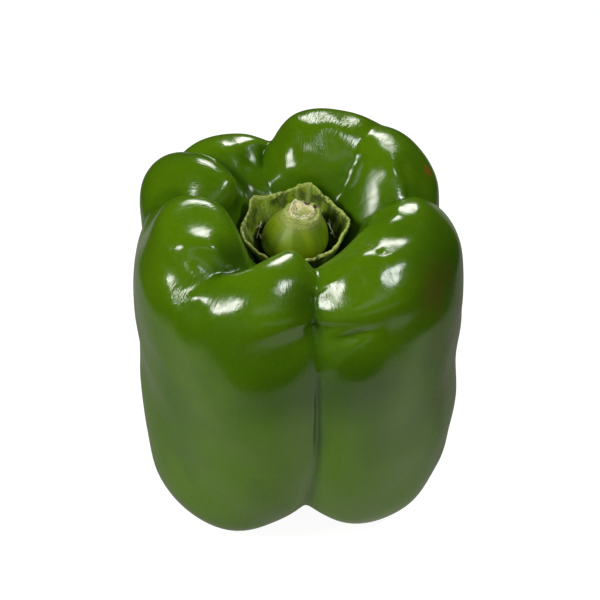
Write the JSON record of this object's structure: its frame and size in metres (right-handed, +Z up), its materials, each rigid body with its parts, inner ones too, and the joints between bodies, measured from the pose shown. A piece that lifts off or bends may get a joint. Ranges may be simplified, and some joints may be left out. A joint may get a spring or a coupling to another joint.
{
  "type": "bell pepper",
  "caption": "Blocky green bell pepper standing upright on its lobes, with deep creases, a sunken ragged calyx and a short cut stem.",
  "frame": {"origin": "centre of the bounding box on the surface that the lobes stand on", "axes": "+Z up along the fruit from its blossom end to its stem; -Y towards the front, where the two front lobes meet in a crease; +X towards the right front lobe"},
  "size_m": [0.0888, 0.0876, 0.1028],
  "materials": {
    "skin": "waxy glossy green skin",
    "calyx": "dull leafy green",
    "stem": "smooth satin green"
  },
  "bodies": {
    "root": {"pepper_body": "skin", "calyx": "calyx", "stem": "stem"}
  },
  "joints": []
}
